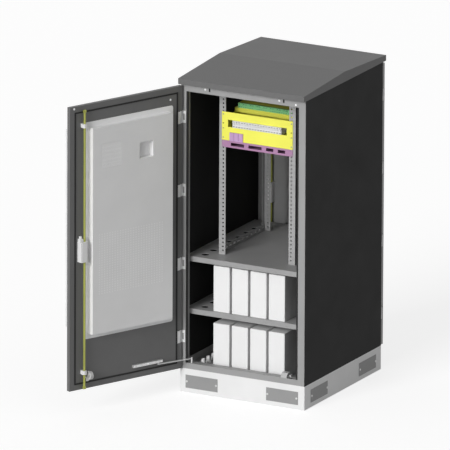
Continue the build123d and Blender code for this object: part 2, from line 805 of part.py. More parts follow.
save("front_door_shell", FRONT_DOOR * door_shell((UNIT_R, UNIT_Z), False))
save("rear_door_shell", REAR_DOOR * door_shell(None, True))
for prefix, place in (("front", FRONT_DOOR), ("rear", REAR_DOOR)):
    save(f"{prefix}_door_gasket", place * door_gasket())
    save(f"{prefix}_hinge_door_leaves", *[place * hinge_door_leaf(z) for z in HINGE_Z])

# The open front door has its rods out, and the closed rear door has them drawn in
save("front_rod_upper", FRONT_DOOR * rod_upper())
save("front_rod_lower", FRONT_DOOR * rod_lower())
save("front_handle", FRONT_DOOR * handle())
save("rear_rod_upper", REAR_DOOR * Pos(0, 0, -ROD_TRAVEL) * rod_upper())
save("rear_rod_lower", REAR_DOOR * Pos(0, 0, ROD_TRAVEL) * rod_lower())
save("rear_handle", REAR_DOOR * unlocked(handle()))

save("front_lock_case", FRONT_DOOR * lock_case())
save("front_rod_guides", *[FRONT_DOOR * guide for guide in rod_guides()])
save("rear_lock_case", *[REAR_DOOR * piece for piece in [lock_case()] + rod_guides()])

frame_leaves = [Pos(HINGE_X, HINGE_Y, 0) * hinge_frame_leaf(z) for z in HINGE_Z]
save("front_hinge_frame_leaves", *frame_leaves)
save("rear_hinge_frame_leaves", *[turned(leaf) for leaf in frame_leaves])


# Climate unit

def louvres(r, z, count, q, height):
    """Evenly spaced level slots through a wall."""
    step = (z[1] - z[0]) / count
    return [
        block(r, q, (z[0] + (k + 0.5) * step - height / 2, z[0] + (k + 0.5) * step + height / 2))
        for k in range(count)
    ]


def climate_unit_inner():
    """A flanged box on the inside: return air field, outlet grille and a service recess."""
    q0 = DOOR_Q[1]
    q1 = q0 + UNIT_PROUD
    wall = UNIT_WALL
    slack = 0.5
    flange = block(UNIT_FLANGE_R, (q0, q0 + 3), UNIT_FLANGE_Z)
    r = (UNIT_R[0] + slack, UNIT_R[1] - slack)
    z = (UNIT_Z[0] + slack, UNIT_Z[1] - slack)
    box = block(r, (0, q1), z)
    hollow = block((r[0] + wall, r[1] - wall), (-1, q1 - wall), (z[0] + wall, z[1] - wall))
    shell = cut(join([flange, box]), [hollow])
    face = (q1 - wall - 1, q1 + 1)
    pocket = block(
        (RECESS_R[0] - wall, RECESS_R[1] + wall), (q1 - RECESS_DEPTH - wall, q1 - wall),
        (RECESS_Z[0] - wall, RECESS_Z[1] + wall))
    tools = [block(RECESS_R, (q1 - RECESS_DEPTH, q1 + 1), RECESS_Z)]
    tools += louvres((GRILLE_R[0] + 8, GRILLE_R[1] - 8), GRILLE_Z, GRILLE_BARS, face, 9)
    col_step = (FIELD_R[1] - FIELD_R[0]) / FIELD_COLS
    row_step = (FIELD_Z[1] - FIELD_Z[0]) / FIELD_ROWS
    for i in range(FIELD_COLS):
        for j in range(FIELD_ROWS):
            at_r = FIELD_R[0] + (i + 0.5) * col_step
            at_z = FIELD_Z[0] + (j + 0.5) * row_step
            tools.append(block(
                (at_r - FIELD_HOLE[0] / 2, at_r + FIELD_HOLE[0] / 2), face,
                (at_z - FIELD_HOLE[1] / 2, at_z + FIELD_HOLE[1] / 2),
            ))
    return cut(join([shell, pocket]), tools)


def climate_unit_outer():
    """The weather side: a hood with a sloped top and louvres at intake and outlet."""
    q0 = DOOR_Q[0]
    q1 = q0 - OUTER_PROUD
    wall = 2.0

    def hood(r, grow, back):
        z0 = OUTER_Z[0] + grow
        z1 = OUTER_Z[1] - grow
        points = [(back, z0), (q1 + grow, z0), (q1 + grow, z1 - OUTER_SLOPE), (back, z1)]
        profile = Plane.YZ * make_face(Polyline(*points, close=True))
        return Pos(r[0], 0, 0) * extrude(profile, r[1] - r[0])

    skin = hood(OUTER_R, 0, q0)
    hollow = hood((OUTER_R[0] + wall, OUTER_R[1] - wall), wall, q0 + 1)
    face = (q1 - 1, q1 + wall + 1)
    width = (OUTER_R[0] + 70, OUTER_R[1] - 70)
    tools = louvres(width, (560, 800), 9, face, 10)
    tools += louvres(width, (1420, 1660), 9, face, 10)
    flange = cut(
        block(OUTER_R, (q0 - wall, q0), OUTER_Z),
        [block((OUTER_R[0] + 22, OUTER_R[1] - 22), (q0 - wall - 1, q0 + 1), (515, 1770))],
    )
    return join([cut(skin, [hollow] + tools), flange])


def climate_core():
    """The plate heat exchanger between the two air paths."""
    body = block((150, 651), (-150, 30), (1160, 1480))
    grooves = []
    for k in range(10):
        r = 175 + k * 50
        grooves.append(block((r, r + 12), (22, 31), (1175, 1465)))
    return cut(body, grooves)


save("climate_unit_inner", FRONT_DOOR * climate_unit_inner())
save("climate_unit_outer", FRONT_DOOR * climate_unit_outer())
save("climate_core", FRONT_DOOR * climate_core())


# Door stay, lift roller and ramp

def stay_rail():
    """A channel on the door that the end of the stay arm runs along."""
    q0 = DOOR_Q[1]
    body = block(STAY_RAIL_R, (q0, q0 + 16), STAY_RAIL_Z)
    lips = block(
        (STAY_RAIL_R[0] + 4, STAY_RAIL_R[1] - 4), (q0 + 4, q0 + 13),
        (STAY_RAIL_Z[0] - 1, STAY_RAIL_Z[1] - 3))
    return cut(body, [lips])


def door_point(r, q, angle):
    """A point of the front door in cabinet coordinates, with the door turned by angle."""
    a = math.radians(angle)
    x = HINGE_X + r * math.cos(a) - q * math.sin(a)
    y = HINGE_Y + r * math.sin(a) + q * math.cos(a)
    return x, y


def stay_arm():
    """A flat bar from a post on the sill to the near end of the rail."""
    end_x, end_y = door_point(STAY_REST_R, STAY_Q, DOOR_REST_ANGLE)
    dx = end_x - STAY_PIVOT[0]
    dy = end_y - STAY_PIVOT[1]
    length = math.hypot(dx, dy)
    angle = math.degrees(math.atan2(dy, dx))
    bar = block((0, length), (-STAY_W / 2, STAY_W / 2), STAY_Z)
    eyes = [upright(0, 0, STAY_Z, STAY_W), upright(length, 0, STAY_Z, STAY_W)]
    pin = upright(length, 0, (STAY_Z[0], STAY_RAIL_Z[0] - 0.6), 6)
    post = upright(0, 0, (OPEN_Z[0] + 0.4, STAY_Z[0]), 12)
    head = upright(0, 0, (STAY_Z[1], STAY_Z[1] + 4), 11)
    arm = join([bar] + eyes + [pin, post, head])
    return Pos(STAY_PIVOT[0], STAY_PIVOT[1], 0) * Rot(0, 0, angle) * arm


def roller_bracket():
    """Two cheeks on a foot, with the axle of the lift roller."""
    q0 = DOOR_Q[1]
    half = WHEEL_W / 2 + 1.5
    foot = block((WHEEL_R - half - 3, WHEEL_R + half + 3), (q0, q0 + 3), (WHEEL_Z - 20, WHEEL_Z + 20))
    cheeks = []
    for low in (WHEEL_R - half - 3, WHEEL_R + half):
        cheeks.append(block((low, low + 3), (q0, WHEEL_Q + 9), (WHEEL_Z - 11, WHEEL_Z + 11)))
    axle = along_x((WHEEL_R - half - 3, WHEEL_R + half + 3), WHEEL_Q, WHEEL_Z, 8)
    return join([foot, axle] + cheeks)


def lift_roller():
    half = WHEEL_W / 2
    wheel = along_x((WHEEL_R - half, WHEEL_R + half), WHEEL_Q, WHEEL_Z, WHEEL_D)
    return cut(wheel, [along_x((WHEEL_R - 20, WHEEL_R + 20), WHEEL_Q, WHEEL_Z, 8.8)])


def lift_ramp():
    """A wedge on the sill that lifts the closing door by its roller."""
    top = WHEEL_Z - WHEEL_D / 2 - WHEEL_GAP
    z0 = OPEN_Z[0]
    points = [(-499, z0), (-452, z0), (-452, top), (-484, top), (-499, z0 + 10)]
    profile = Plane.YZ * make_face(Polyline(*points, close=True))
    wedge = Pos(262, 0, 0) * extrude(profile, 40)
    stop = block((304, 318), (-470, -452), (z0, z0 + 14))
    return [wedge, stop]


save("stay_rail", FRONT_DOOR * stay_rail())
save("stay_arm", stay_arm())
save("roller_bracket", FRONT_DOOR * roller_bracket())
save("lift_roller", FRONT_DOOR * lift_roller())
save("lift_ramp", *lift_ramp())
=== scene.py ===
import bpy
import bmesh
import json
import math
from mathutils import Matrix, Vector


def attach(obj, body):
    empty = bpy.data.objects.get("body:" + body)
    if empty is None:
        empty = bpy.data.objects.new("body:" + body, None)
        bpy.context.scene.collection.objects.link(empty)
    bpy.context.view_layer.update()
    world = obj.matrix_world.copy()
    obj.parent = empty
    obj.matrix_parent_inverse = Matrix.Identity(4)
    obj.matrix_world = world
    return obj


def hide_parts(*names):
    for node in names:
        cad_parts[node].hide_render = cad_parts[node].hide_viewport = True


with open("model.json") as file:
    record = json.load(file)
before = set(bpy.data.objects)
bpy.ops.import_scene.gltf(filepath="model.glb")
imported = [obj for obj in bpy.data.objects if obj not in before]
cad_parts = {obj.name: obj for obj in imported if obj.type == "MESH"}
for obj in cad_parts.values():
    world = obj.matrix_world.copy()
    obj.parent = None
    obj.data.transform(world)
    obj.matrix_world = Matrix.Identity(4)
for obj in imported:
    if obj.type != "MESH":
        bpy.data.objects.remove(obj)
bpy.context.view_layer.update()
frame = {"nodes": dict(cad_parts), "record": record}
nodes = frame["nodes"]
scene = bpy.context.scene
scene.view_settings.view_transform = "Standard"

# Camera: the photo is a parallel projection, so a very long lens stands in for it
AZIMUTH = math.radians(27.93)
ELEVATION = math.radians(16.2)
ROLL = math.radians(0.25)
LENS = 1300.0
SENSOR = 36.0
PICTURE_WIDTH = 2.732
AIM = Vector((-0.388, 0.0, 0.9265))


def add_camera():
    ahead = Vector((
        -math.sin(AZIMUTH) * math.cos(ELEVATION),
        math.cos(AZIMUTH) * math.cos(ELEVATION),
        -math.sin(ELEVATION),
    ))
    level = Vector((math.cos(AZIMUTH), math.sin(AZIMUTH), 0.0))
    above = level.cross(ahead)
    right = level * math.cos(ROLL) + above * math.sin(ROLL)
    up = above * math.cos(ROLL) - level * math.sin(ROLL)
    data = bpy.data.cameras.new("camera")
    data.lens = LENS
    data.sensor_width = SENSOR
    distance = PICTURE_WIDTH * LENS / SENSOR
    data.clip_start = 1.0
    data.clip_end = distance * 3
    camera = bpy.data.objects.new("camera", data)
    place = Matrix((right, up, -ahead)).transposed().to_4x4()
    place.translation = AIM - ahead * distance
    camera.matrix_world = place
    scene.collection.objects.link(camera)
    scene.camera = camera


add_camera()

# Light: a soft key from the front and above, a low soft fill that reaches inside, and an even world
KEY_FROM = Vector((-0.16, -0.90, 0.40))
KEY_STRENGTH = 1.75
KEY_ANGLE = math.radians(24)
FILL_FROM = Vector((-0.04, -1.0, 0.10))
FILL_STRENGTH = 0.75
FILL_ANGLE = math.radians(30)
WORLD_STRENGTH = 0.36


def camera_like(tree):
    """One where a ray comes from the camera, a mirror or clear glass, else zero."""
    path = tree.nodes.new("ShaderNodeLightPath")
    either = tree.nodes.new("ShaderNodeMath")
    either.operation = "MAXIMUM"
    tree.links.new(path.outputs["Is Camera Ray"], either.inputs[0])
    tree.links.new(path.outputs["Is Glossy Ray"], either.inputs[1])
    both = tree.nodes.new("ShaderNodeMath")
    both.operation = "MAXIMUM"
    tree.links.new(either.outputs[0], both.inputs[0])
    tree.links.new(path.outputs["Is Transmission Ray"], both.inputs[1])
    return both.outputs[0]


def add_sun(name, direction, strength, angle):
    sun = bpy.data.lights.new(name, "SUN")
    sun.energy = strength
    sun.angle = angle
    lamp = bpy.data.objects.new(name, sun)
    lamp.rotation_euler = direction.to_track_quat("Z", "Y").to_euler()
    scene.collection.objects.link(lamp)


def add_lights():
    add_sun("key", KEY_FROM, KEY_STRENGTH, KEY_ANGLE)
    add_sun("fill", FILL_FROM, FILL_STRENGTH, FILL_ANGLE)
    world = bpy.data.worlds.new("world")
    scene.world = world
    world.use_nodes = True
    tree = world.node_tree
    tree.nodes.clear()
    plain = tree.nodes.new("ShaderNodeBackground")
    plain.inputs["Color"].default_value = (1, 1, 1, 1)
    plain.inputs["Strength"].default_value = WORLD_STRENGTH
    seen = tree.nodes.new("ShaderNodeBackground")
    seen.inputs["Color"].default_value = (1, 1, 1, 1)
    seen.inputs["Strength"].default_value = 1.0
    mix = tree.nodes.new("ShaderNodeMixShader")
    out = tree.nodes.new("ShaderNodeOutputWorld")
    tree.links.new(camera_like(tree), mix.inputs[0])
    tree.links.new(plain.outputs[0], mix.inputs[1])
    tree.links.new(seen.outputs[0], mix.inputs[2])
    tree.links.new(mix.outputs[0], out.inputs["Surface"])


# The corners of a rectangle, as signs
CORNER_SIGNS = ((-1, -1), (1, -1), (1, 1), (-1, 1))

# Floor, in metres, and its brightness for light that bounces and for the camera
FLOOR_HALF = 30.0
FLOOR_Z = -0.001
FLOOR_BOUNCES = 0.5
FLOOR_SEEN = 0.42
FLOOR_GLOW = 0.72


def add_floor():
    """A pale floor that still takes the object's shadow."""
    mesh = bpy.data.meshes.new("floor")
    corners = [(x * FLOOR_HALF, y * FLOOR_HALF, FLOOR_Z) for x, y in CORNER_SIGNS]
    mesh.from_pydata(corners, [], [(0, 1, 2, 3)])
    floor = bpy.data.objects.new("floor", mesh)
    scene.collection.objects.link(floor)
    material = bpy.data.materials.new("floor_pale")
    material.use_nodes = True
    tree = material.node_tree
    tree.nodes.clear()
    plain = tree.nodes.new("ShaderNodeBsdfDiffuse")
    plain.inputs["Color"].default_value = (*[FLOOR_BOUNCES] * 3, 1)
    lit = tree.nodes.new("ShaderNodeBsdfDiffuse")
    lit.inputs["Color"].default_value = (*[FLOOR_SEEN] * 3, 1)
    glow = tree.nodes.new("ShaderNodeEmission")
    glow.inputs["Strength"].default_value = FLOOR_GLOW
    add = tree.nodes.new("ShaderNodeAddShader")
    mix = tree.nodes.new("ShaderNodeMixShader")
    out = tree.nodes.new("ShaderNodeOutputMaterial")
    tree.links.new(lit.outputs[0], add.inputs[0])
    tree.links.new(glow.outputs[0], add.inputs[1])
    tree.links.new(camera_like(tree), mix.inputs[0])
    tree.links.new(plain.outputs[0], mix.inputs[1])
    tree.links.new(add.outputs[0], mix.inputs[2])
    tree.links.new(mix.outputs[0], out.inputs["Surface"])
    mesh.materials.append(material)


add_lights()
add_floor()


# Materials

def grey(level):
    """A neutral colour from its brightness in the photo, 0 to 255."""
    return rgb(level, level, level)


def rgb(*levels):
    """A linear colour from 0 to 255 display levels."""
    return tuple(((v / 255 + 0.055) / 1.055) ** 2.4 if v > 10 else v / 255 / 12.92 for v in levels)


DRIFT_DETAIL = 5.0
DRIFT_RANGE = (0.3, 0.7)
GRAIN_DETAIL = 2.0
SPECK_FACTOR = 0.25
SPECK_DARKEST = 0.72
ROUGH_SPREAD = 0.08
LEAST_ROUGH = 0.05
RELIEF_DEPTH = 0.0006


def finish(name, color, rough=0.5, metallic=0.0, grain=900.0, bump=0.06, cloud=6.0, shade=0.10,
           stretch=(1, 1, 1), coat=0.0, specular=0.5):
    """A painted, plated or moulded surface: soft drift of colour and roughness, and a fine grain."""
    material = bpy.data.materials.new(name)
    material.use_nodes = True
    tree = material.node_tree
    shader = tree.nodes["Principled BSDF"]
    shader.inputs["Metallic"].default_value = metallic
    shader.inputs["Coat Weight"].default_value = coat
    shader.inputs["Specular IOR Level"].default_value = specular
    place = tree.nodes.new("ShaderNodeTexCoord")
    scale = tree.nodes.new("ShaderNodeMapping")
    scale.inputs["Scale"].default_value = stretch
    tree.links.new(place.outputs["Object"], scale.inputs["Vector"])
    drift = tree.nodes.new("ShaderNodeTexNoise")
    drift.inputs["Scale"].default_value = cloud
    drift.inputs["Detail"].default_value = DRIFT_DETAIL
    fine = tree.nodes.new("ShaderNodeTexNoise")
    fine.inputs["Scale"].default_value = grain
    fine.inputs["Detail"].default_value = GRAIN_DETAIL
    for noise in (drift, fine):
        tree.links.new(scale.outputs["Vector"], noise.inputs["Vector"])
    tone = tree.nodes.new("ShaderNodeValToRGB")
    tone.color_ramp.elements[0].position = DRIFT_RANGE[0]
    tone.color_ramp.elements[0].color = (*[c * (1 - shade) for c in color], 1)
    tone.color_ramp.elements[1].position = DRIFT_RANGE[1]
    tone.color_ramp.elements[1].color = (*[min(1, c * (1 + shade)) for c in color], 1)
    speck = tree.nodes.new("ShaderNodeMix")
    speck.data_type = "RGBA"
    speck.blend_type = "MULTIPLY"
    speck.inputs["Factor"].default_value = SPECK_FACTOR
    soft = tree.nodes.new("ShaderNodeValToRGB")
    soft.color_ramp.elements[0].color = (*[SPECK_DARKEST] * 3, 1)
    tree.links.new(drift.outputs["Fac"], tone.inputs["Fac"])
    tree.links.new(fine.outputs["Fac"], soft.inputs["Fac"])
    tree.links.new(tone.outputs["Color"], speck.inputs["A"])
    tree.links.new(soft.outputs["Color"], speck.inputs["B"])
    tree.links.new(speck.outputs["Result"], shader.inputs["Base Color"])
    gloss = tree.nodes.new("ShaderNodeMapRange")
    gloss.inputs["To Min"].default_value = max(LEAST_ROUGH, rough - ROUGH_SPREAD)
    gloss.inputs["To Max"].default_value = min(1.0, rough + ROUGH_SPREAD)
    tree.links.new(drift.outputs["Fac"], gloss.inputs["Value"])
    tree.links.new(gloss.outputs["Result"], shader.inputs["Roughness"])
    relief = tree.nodes.new("ShaderNodeBump")
    relief.inputs["Strength"].default_value = bump
    relief.inputs["Distance"].default_value = RELIEF_DEPTH
    tree.links.new(fine.outputs["Fac"], relief.inputs["Height"])
    tree.links.new(relief.outputs["Normal"], shader.inputs["Normal"])
    return material


MATERIALS = {
    "frame_grey": finish("frame_grey", grey(156), rough=0.55, bump=0.12, shade=0.04),
    # Painted shade: the side panels are the frame's grey paint, and this charcoal stands for the shade
    # on the sides that face away from the light
    "side_charcoal": finish("side_charcoal", grey(27), rough=0.75, bump=0.15, shade=0.08,
                            specular=0.2),
    # Painted shade: the roof is the frame's grey paint, set darker here for the shade on its top slopes
    "roof_grey": finish("roof_grey", grey(106), rough=0.6, bump=0.12, shade=0.05, specular=0.35),
    "plinth_white": finish("plinth_white", grey(236), rough=0.5, bump=0.1, shade=0.03),
    "cover_grey": finish("cover_grey", grey(148), rough=0.55, bump=0.1, shade=0.04),
    # Painted shade: the door is the frame's grey paint, set darker here for the shade on the open leaf's
    # inner face
    "door_grey": finish("door_grey", grey(100), rough=0.55, bump=0.12, shade=0.05),
    "shelf_grey": finish("shelf_grey", grey(158), rough=0.5, bump=0.1, shade=0.06),
    "unit_grey": finish("unit_grey", grey(236), rough=0.5, bump=0.08, shade=0.02),
    "zinc": finish("zinc", grey(215), rough=0.35, metallic=0.6, cloud=40.0, shade=0.12),
    "seal_black": finish("seal_black", grey(24), rough=0.85, bump=0.3, shade=0.2),
    "battery_white": finish("battery_white", grey(240), rough=0.45, bump=0.1, shade=0.015),
    "gland_white": finish("gland_white", grey(238), rough=0.4, bump=0.05, shade=0.03),
    "panel_yellow": finish("panel_yellow", rgb(250, 248, 96), rough=0.45, bump=0.06, shade=0.03),
    "rod_olive": finish("rod_olive", rgb(168, 172, 84), rough=0.38, metallic=0.35, cloud=30.0,
                        stretch=(1, 1, 0.15)),
    "terminal_green": finish("terminal_green", rgb(150, 226, 160), rough=0.4, shade=0.05),
    "tray_purple": finish("tray_purple", rgb(178, 132, 170), rough=0.45, shade=0.05),
    "module_purple": finish("module_purple", rgb(200, 160, 205), rough=0.4, shade=0.05),
    "breaker_white": finish("breaker_white", grey(236), rough=0.4, shade=0.03),
    "rack_steel": finish("rack_steel", grey(168), rough=0.45, metallic=0.2, cloud=50.0, shade=0.08),
    "wheel_white": finish("wheel_white", grey(190), rough=0.45, shade=0.05),
    "handle_black": finish("handle_black", grey(32), rough=0.35, bump=0.2, coat=0.2),
    "core_aluminium": finish("core_aluminium", grey(190), rough=0.4, metallic=0.7, shade=0.1),
    "rear_door_grey": finish("rear_door_grey", grey(165), rough=0.55, bump=0.12, shade=0.05),
    "unit_wall": finish("unit_wall", grey(240), rough=0.5, bump=0.08, shade=0.02),
    "filter_white": finish("filter_white", grey(250), rough=0.8, grain=1500.0, bump=0.5, shade=0.01),
    # Painted shade: the terminals' green, darkened for the shade in wire entries and at clamp screws
    "terminal_painted_shade": finish("terminal_painted_shade", rgb(60, 110, 90), rough=0.6, shade=0.2),
    "breaker_mark": finish("breaker_mark", grey(150), rough=0.5, shade=0.1),
    # Painted shade: near black for the shade inside the catch slots
    "painted_slot_shade": finish("painted_slot_shade", grey(20), rough=0.9, shade=0.1),
    "bright_screw": finish("bright_screw", grey(245), rough=0.35, metallic=0.1, cloud=60.0),
}


def dress():
    """Gives each node its slot's material. The rear door is seen from inside and has its own."""
    for row in frame["record"]["subparts"]:
        mesh = nodes[row["node"]].data
        mesh.materials.clear()
        mesh.materials.append(MATERIALS[row["material_slot"]])
    rear = nodes["rear_door_shell"].data
    rear.materials.clear()
    rear.materials.append(MATERIALS["rear_door_grey"])


dress()

# Meshes. Lengths below are in millimetres and turned into metres as each piece is placed.
# On a door, r runs from the hinge along the leaf, and depth from the hinge's plane to the inside
MM = 0.001
WELD = 0.001
BEVEL_SEGMENTS = 2
BEVEL_OVER = math.radians(40)
HINGE = Vector((-419.0, -515.0, 0.0))
DOOR_ANGLE = math.radians(-115.0)
DOOR_IN = 11.0
FRONT = Matrix.Translation(HINGE * MM) @ Matrix.Rotation(DOOR_ANGLE, 4, "Z") @ Matrix.Scale(MM, 4)
REAR = Matrix.Rotation(math.pi, 4, "Z") @ Matrix.Translation(HINGE * MM) @ Matrix.Scale(MM, 4)
WORLD = Matrix.Scale(MM, 4)


def piece(name, shape, material, body, place=WORLD, bevel=0.0):
    """Turns a bmesh into an object that rides on a body."""
    bmesh.ops.remove_doubles(shape, verts=shape.verts, dist=WELD)
    bmesh.ops.recalc_face_normals(shape, faces=shape.faces)
    mesh = bpy.data.meshes.new(name)
    shape.to_mesh(mesh)
    shape.free()
    mesh.transform(place)
    mesh.materials.append(MATERIALS[material])
    thing = bpy.data.objects.new(name, mesh)
    scene.collection.objects.link(thing)
    if bevel:
        round_off = thing.modifiers.new("edges", "BEVEL")
        round_off.width = bevel * MM
        round_off.segments = BEVEL_SEGMENTS
        round_off.limit_method = "ANGLE"
        round_off.angle_limit = BEVEL_OVER
    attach(thing, body)
    return thing


def add_block(shape, x, y, z):
    """A closed box between two corners."""
    corners = [shape.verts.new((i, j, k)) for i in x for j in y for k in z]
    for face in ((0, 1, 3, 2), (4, 6, 7, 5), (0, 4, 5, 1), (2, 3, 7, 6), (0, 2, 6, 4), (1, 5, 7, 3)):
        shape.faces.new([corners[n] for n in face])


def add_lathe(shape, centre, axis, profile, sides=20):
    """A turned form: profile is (distance along axis, radius) from the foot to the crown."""
    turn = axis.to_track_quat("Z", "Y")
    rings = []
    for along, radius in profile:
        ring = []
        for k in range(sides):
            a = 2 * math.pi * k / sides
            spot = Vector((radius * math.cos(a), radius * math.sin(a), along))
            ring.append(shape.verts.new(centre + turn @ spot))
        rings.append(ring)
    for low, high in zip(rings, rings[1:]):
        for k in range(sides):
            shape.faces.new((low[k], low[(k + 1) % sides], high[(k + 1) % sides], high[k]))
    shape.faces.new(list(reversed(rings[0])))
    shape.faces.new(rings[-1])


def add_screw(shape, centre, axis, radius, height):
    """A pan head with a round recess in its crown."""
    profile = [
        (0, radius),
        (height * 0.45, radius),
        (height * 0.85, radius * 0.8),
        (height, radius * 0.5),
        (height, radius * 0.38),
        (height * 0.45, radius * 0.34),
    ]
    add_lathe(shape, Vector(centre), Vector(axis), profile)


def add_windowed_plate(shape, x, y, z, windows):
    """A plate across X and Z, y thick, with rectangular windows given as (x span, z span)."""
    xs = sorted({*x, *[v for w in windows for v in w[0]]})
    zs = sorted({*z, *[v for w in windows for v in w[1]]})

    def solid(i, k):
        if not (0 <= i < len(xs) - 1 and 0 <= k < len(zs) - 1):
            return False
        mx = (xs[i] + xs[i + 1]) / 2
        mz = (zs[k] + zs[k + 1]) / 2
        return not any(w[0][0] < mx < w[0][1] and w[1][0] < mz < w[1][1] for w in windows)

    def quad(points):
        shape.faces.new([shape.verts.new(point) for point in points])

    for i in range(len(xs) - 1):
        for k in range(len(zs) - 1):
            if not solid(i, k):
                continue
            x0, x1, z0, z1 = xs[i], xs[i + 1], zs[k], zs[k + 1]
            for level in y:
                quad([(x0, level, z0), (x1, level, z0), (x1, level, z1), (x0, level, z1)])
            for side, ends in (((-1, 0), ((x0, z0), (x0, z1))), ((1, 0), ((x1, z0), (x1, z1))),
                               ((0, -1), ((x0, z0), (x1, z0))), ((0, 1), ((x0, z1), (x1, z1)))):
                if not solid(i + side[0], k + side[1]):
                    (a, b), (c, d) = ends
                    quad([(a, y[0], b), (c, y[0], d), (c, y[1], d), (a, y[1], b)])


# A hole has two points for each corner of its cell, and its first point faces the first corner
HOLE_SIDES = 8
FIRST_POINT = 225


def add_perforated_plate(shape, x, y, z, counts, radius):
    """A plate across X and Z, y thick, with a regular field of eight-sided holes."""
    step_x = (x[1] - x[0]) / counts[0]
    step_z = (z[1] - z[0]) / counts[1]
    turns = [math.radians(FIRST_POINT + 360 / HOLE_SIDES * n) for n in range(HOLE_SIDES)]
    rim = [(radius * math.cos(a), radius * math.sin(a)) for a in turns]
    for i in range(counts[0]):
        for k in range(counts[1]):
            cx = x[0] + (i + 0.5) * step_x
            cz = z[0] + (k + 0.5) * step_z
            layers = []
            for level in y:
                corners = [
                    shape.verts.new((cx + a * step_x / 2, level, cz + b * step_z / 2))
                    for a, b in CORNER_SIGNS
                ]
                hole = [shape.verts.new((cx + a, level, cz + b)) for a, b in rim]
                for n in range(4):
                    a, b, c = hole[2 * n], hole[2 * n + 1], hole[(2 * n + 2) % HOLE_SIDES]
                    shape.faces.new((corners[n], corners[(n + 1) % 4], c, b, a))
                layers.append(hole)
            for n in range(HOLE_SIDES):
                m = (n + 1) % HOLE_SIDES
                shape.faces.new((layers[0][n], layers[0][m], layers[1][m], layers[1][n]))


# Climate unit, inside of the front door
UNIT_R = (100.5, 700.5)
UNIT_Z = (495.5, 1787.5)
UNIT_BACK = 0.5
UNIT_FACE = 55.0
UNIT_WALL = 2.0
FLANGE_R = (69.0, 730.0)
FLANGE_Z = (463.0, 1820.0)
FLANGE_T = 3.0
FLANGE_CORNER = 14.0
INNER_CORNER = 1.0
FIELD_R = (169.0, 661.0)
FIELD_Z = (738.0, 1123.0)
FIELD_COUNTS = (25, 26)
FIELD_HOLE = 4.3
FIELD_T = 0.6
FILTER_INSET = 1.0
FILTER_BACK = 3.0
FILTER_GAP = 0.1
GRILLE_R = (483.0, 634.0)
GRILLE_Z = (1529.0, 1678.0)
GRILLE_BARS = 30
GRILLE_BAR = 3.0
GRILLE_SINK = 0.2
LEVEL_BAR_BEHIND = (1.6, 0.1)
RECESS_R = (249.0, 351.0)
RECESS_Z = (1542.0, 1642.0)
RECESS_DEPTH = 40.0


def rounded_outline(x, z, radius, steps=6):
    """Corner-rounded rectangle as a list of points, counter-clockwise."""
    centres = ((x[1] - radius, z[1] - radius, 0), (x[0] + radius, z[1] - radius, 90),
               (x[0] + radius, z[0] + radius, 180), (x[1] - radius, z[0] + radius, 270))
    points = []
    for cx, cz, first in centres:
        for n in range(steps + 1):
            a = math.radians(first + 90 * n / steps)
            points.append((cx + radius * math.cos(a), cz + radius * math.sin(a)))
    return points


def add_flange(shape):
    """A flat frame with rounded corners round the unit's box."""
    outer = rounded_outline(FLANGE_R, FLANGE_Z, FLANGE_CORNER)
    inner = rounded_outline(UNIT_R, UNIT_Z, INNER_CORNER)
    layers = []
    for level in (DOOR_IN, DOOR_IN + FLANGE_T):
        rims = [[shape.verts.new((a, level, b)) for a, b in line] for line in (outer, inner)]
        for n in range(len(outer)):
            m = (n + 1) % len(outer)
            shape.faces.new((rims[0][n], rims[0][m], rims[1][m], rims[1][n]))
        layers.append(rims)
    for rim in (0, 1):
        for n in range(len(outer)):
            m = (n + 1) % len(outer)
            low, high = layers[0][rim], layers[1][rim]
            shape.faces.new((low[n], low[m], high[m], high[n]))


def add_ring(shape, x, y, z, wall):
    """Four walls of a box that is open in front and behind."""
    inner_x = (x[0] + wall, x[1] - wall)
    add_block(shape, (x[0], inner_x[0]), y, z)
    add_block(shape, (inner_x[1], x[1]), y, z)
    add_block(shape, inner_x, y, (z[0], z[0] + wall))
    add_block(shape, inner_x, y, (z[1] - wall, z[1]))


def climate_unit():
    """Walls with a flange, a cover with three windows, the air field with its filter, and the recess."""
    face = (UNIT_FACE - UNIT_WALL, UNIT_FACE)
    walls = bmesh.new()
    add_flange(walls)
    add_ring(walls, UNIT_R, (UNIT_BACK, face[0]), UNIT_Z, UNIT_WALL)
    body = piece("climate_unit_walls", walls, "unit_wall", "front_door", FRONT)
    front = bmesh.new()
    windows = [(FIELD_R, FIELD_Z), (GRILLE_R, GRILLE_Z), (RECESS_R, RECESS_Z)]
    add_windowed_plate(front, UNIT_R, face, UNIT_Z, windows)
    cover = piece("climate_unit_cover", front, "unit_grey", "front_door", FRONT)
    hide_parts("climate_unit_inner")
    field = bmesh.new()
    thin = (UNIT_FACE - FIELD_T, UNIT_FACE)
    add_perforated_plate(field, FIELD_R, thin, FIELD_Z, FIELD_COUNTS, FIELD_HOLE)
    piece("return_air_field", field, "unit_grey", "front_door", FRONT)
    pad = bmesh.new()
    pad_r = (FIELD_R[0] + FILTER_INSET, FIELD_R[1] - FILTER_INSET)
    pad_z = (FIELD_Z[0] + FILTER_INSET, FIELD_Z[1] - FILTER_INSET)
    add_block(pad, pad_r, (face[0] - FILTER_BACK, thin[0] - FILTER_GAP), pad_z)
    piece("return_air_filter", pad, "filter_white", "front_door", FRONT)
    pocket = bmesh.new()
    reach = (UNIT_FACE - RECESS_DEPTH, face[0])
    outside_r = (RECESS_R[0] - UNIT_WALL, RECESS_R[1] + UNIT_WALL)
    outside_z = (RECESS_Z[0] - UNIT_WALL, RECESS_Z[1] + UNIT_WALL)
    add_ring(pocket, outside_r, reach, outside_z, UNIT_WALL)
    add_block(pocket, outside_r, (reach[0] - UNIT_WALL, reach[0]), outside_z)
    piece("climate_recess", pocket, "unit_wall", "front_door", FRONT)


